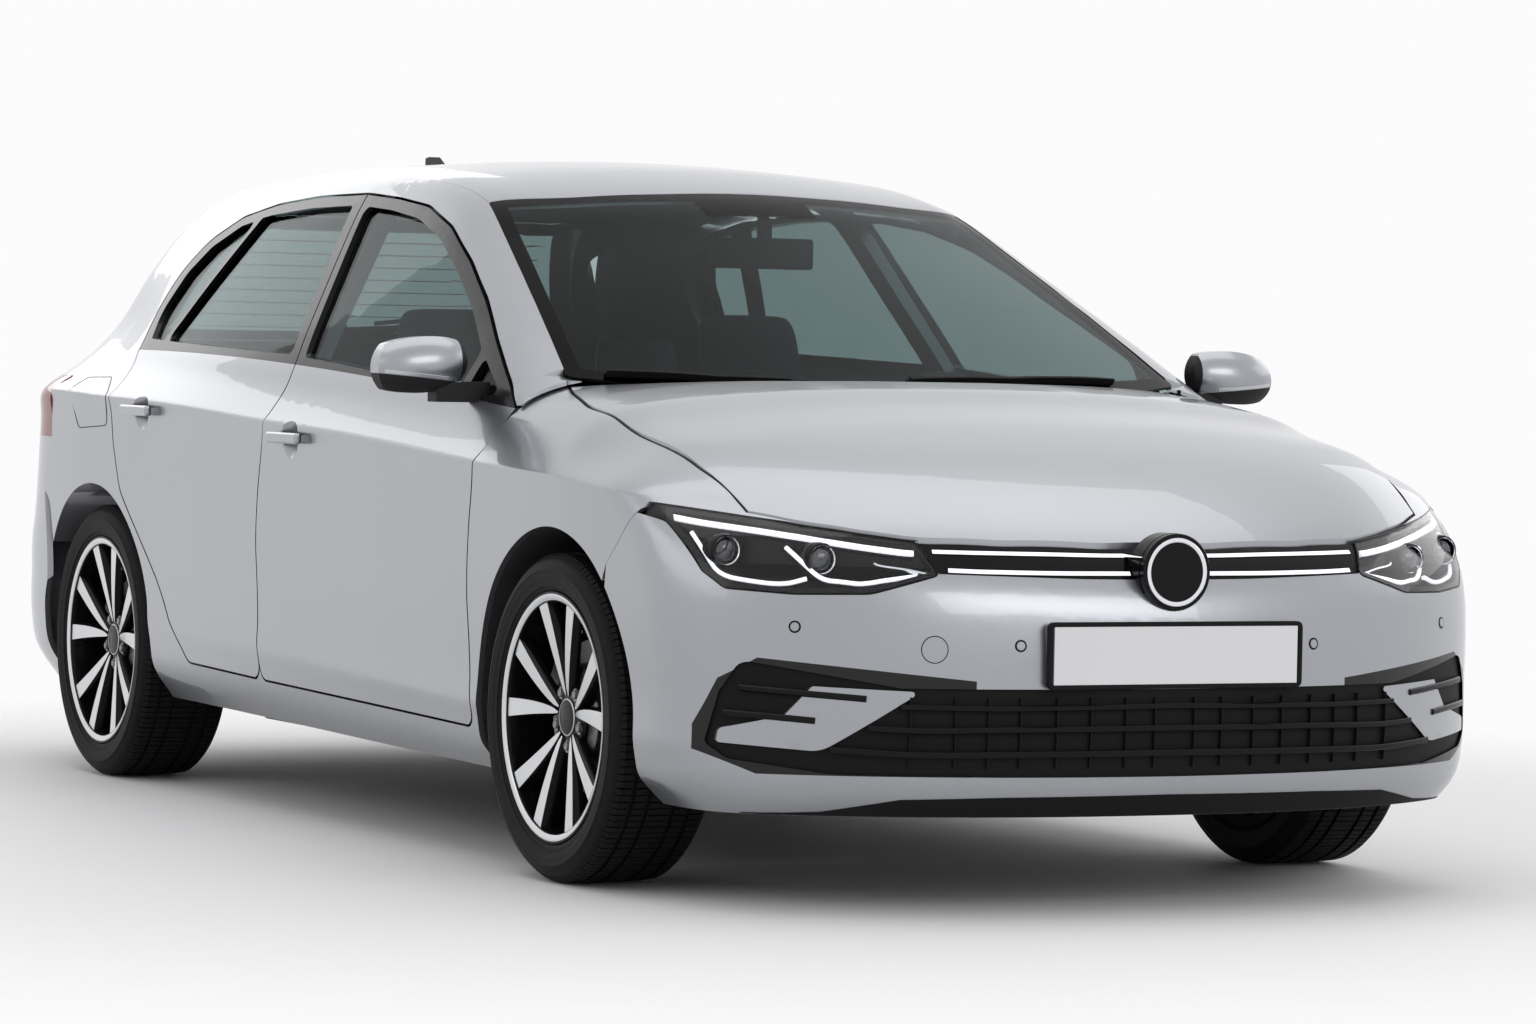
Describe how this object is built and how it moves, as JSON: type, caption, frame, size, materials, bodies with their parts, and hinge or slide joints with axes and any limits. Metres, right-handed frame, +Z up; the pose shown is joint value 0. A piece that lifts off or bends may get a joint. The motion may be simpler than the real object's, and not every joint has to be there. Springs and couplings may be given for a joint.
{
  "type": "hatchback car",
  "caption": "Compact family hatchback with opening side doors, bonnet and tailgate, steered front wheels, a trimmed cabin and all wheels free to roll.",
  "frame": {"origin": "on the ground, at the middle of the length and of the width", "axes": "+X forwards, +Y to the car's left, +Z up"},
  "size_m": [4.2869, 2.0744, 1.4808],
  "materials": {
    "paint": "metallic gloss",
    "floor_steel": "satin",
    "glass": "clear",
    "black_plastic": "fine grain",
    "lamp_clear": "gloss",
    "lamp_red": "gloss",
    "engine_metal": "cast",
    "exhaust_steel": "heat stained",
    "seat_fabric": "woven",
    "plate_blank": "gloss",
    "rubber": "matt",
    "alloy": "machined"
  },
  "bodies": {
    "shell": {"floor_pan": "floor_steel", "side_frame_left": "paint", "side_frame_right": "paint", "roof_panel": "paint", "windscreen": "glass", "fender_left": "paint", "fender_right": "paint", "front_bumper": "paint", "rear_bumper": "paint", "upper_grille": "black_plastic", "lower_grille": "black_plastic", "headlamps": "lamp_clear", "tail_lamps": "lamp_red", "cowl_panel": "black_plastic", "engine_block": "engine_metal", "radiator": "engine_metal", "front_subframe": "floor_steel", "rear_axle": "floor_steel", "exhaust": "exhaust_steel", "fuel_tank": "black_plastic", "dashboard": "black_plastic", "front_seat_left": "seat_fabric", "front_seat_right": "seat_fabric", "rear_bench": "seat_fabric", "steering_column": "black_plastic", "antenna_fin": "black_plastic", "interior_mirror": "black_plastic", "number_plate_front": "plate_blank", "bumper_blades": "paint"},
    "bonnet_lid": {"bonnet": "paint"},
    "tailgate_lid": {"tailgate": "paint", "tailgate_glass": "glass", "number_plate_rear": "plate_blank"},
    "steering": {"steering_wheel": "black_plastic"},
    "front_left_door": {"front_door_left": "paint", "front_door_glass_left": "glass", "door_mirror_left": "black_plastic"},
    "rear_left_door": {"rear_door_left": "paint", "rear_door_glass_left": "glass"},
    "left_knuckle": {"knuckle_left": "floor_steel"},
    "front_left_wheel": {"tyre_front_left": "rubber", "rim_front_left": "alloy"},
    "rear_left_wheel": {"tyre_rear_left": "rubber", "rim_rear_left": "alloy"},
    "front_right_door": {"front_door_right": "paint", "front_door_glass_right": "glass", "door_mirror_right": "black_plastic"},
    "rear_right_door": {"rear_door_right": "paint", "rear_door_glass_right": "glass"},
    "right_knuckle": {"knuckle_right": "floor_steel"},
    "front_right_wheel": {"tyre_front_right": "rubber", "rim_front_right": "alloy"},
    "rear_right_wheel": {"tyre_rear_right": "rubber", "rim_rear_right": "alloy"}
  },
  "joints": [
    {"name": "bonnet_hinge", "type": "hinge", "parent": "shell", "child": "bonnet_lid", "pos_m": [0.928, 0, 0.986], "axis": [0, -1, 0], "range_deg": [0, 55]},
    {"name": "tailgate_hinge", "type": "hinge", "parent": "shell", "child": "tailgate_lid", "pos_m": [-1.566, 0, 1.375], "axis": [0, 1, 0], "range_deg": [0, 85]},
    {"name": "front_left_door_hinge", "type": "hinge", "parent": "shell", "child": "front_left_door", "pos_m": [0.882, 0.888, 0.62], "axis": [0, 0, -1], "range_deg": [0, 65]},
    {"name": "rear_left_door_hinge", "type": "hinge", "parent": "shell", "child": "rear_left_door", "pos_m": [-0.27, 0.893, 0.62], "axis": [0, 0, -1], "range_deg": [0, 65]},
    {"name": "left_steer", "type": "hinge", "parent": "shell", "child": "left_knuckle", "pos_m": [1.274, 0.7295, 0.3185], "axis": [0, 0, 1], "range_deg": [-38, 38]},
    {"name": "front_left_spin", "type": "hinge", "parent": "left_knuckle", "child": "front_left_wheel", "pos_m": [1.274, 0.7745, 0.3185], "axis": [0, 1, 0], "continuous": true},
    {"name": "rear_left_spin", "type": "hinge", "parent": "shell", "child": "rear_left_wheel", "pos_m": [-1.362, 0.76, 0.3185], "axis": [0, 1, 0], "continuous": true},
    {"name": "front_right_door_hinge", "type": "hinge", "parent": "shell", "child": "front_right_door", "pos_m": [0.882, -0.888, 0.62], "axis": [0, 0, 1], "range_deg": [0, 65]},
    {"name": "rear_right_door_hinge", "type": "hinge", "parent": "shell", "child": "rear_right_door", "pos_m": [-0.27, -0.893, 0.62], "axis": [0, 0, 1], "range_deg": [0, 65]},
    {"name": "right_steer", "type": "hinge", "parent": "shell", "child": "right_knuckle", "pos_m": [1.274, -0.7295, 0.3185], "axis": [0, 0, 1], "range_deg": [-38, 38]},
    {"name": "front_right_spin", "type": "hinge", "parent": "right_knuckle", "child": "front_right_wheel", "pos_m": [1.274, -0.7745, 0.3185], "axis": [0, 1, 0], "continuous": true},
    {"name": "rear_right_spin", "type": "hinge", "parent": "shell", "child": "rear_right_wheel", "pos_m": [-1.362, -0.76, 0.3185], "axis": [0, 1, 0], "continuous": true},
    {"name": "steering_turn", "type": "hinge", "parent": "shell", "child": "steering", "pos_m": [0.436, 0.37, 0.8226], "axis": [-0.9135, 0, 0.4067], "range_deg": [-532, 532]}
  ],
  "couplings": [
    {"joint": "right_steer", "follows": "left_steer", "ratio": 1},
    {"joint": "steering_turn", "follows": "left_steer", "ratio": 14}
  ]
}
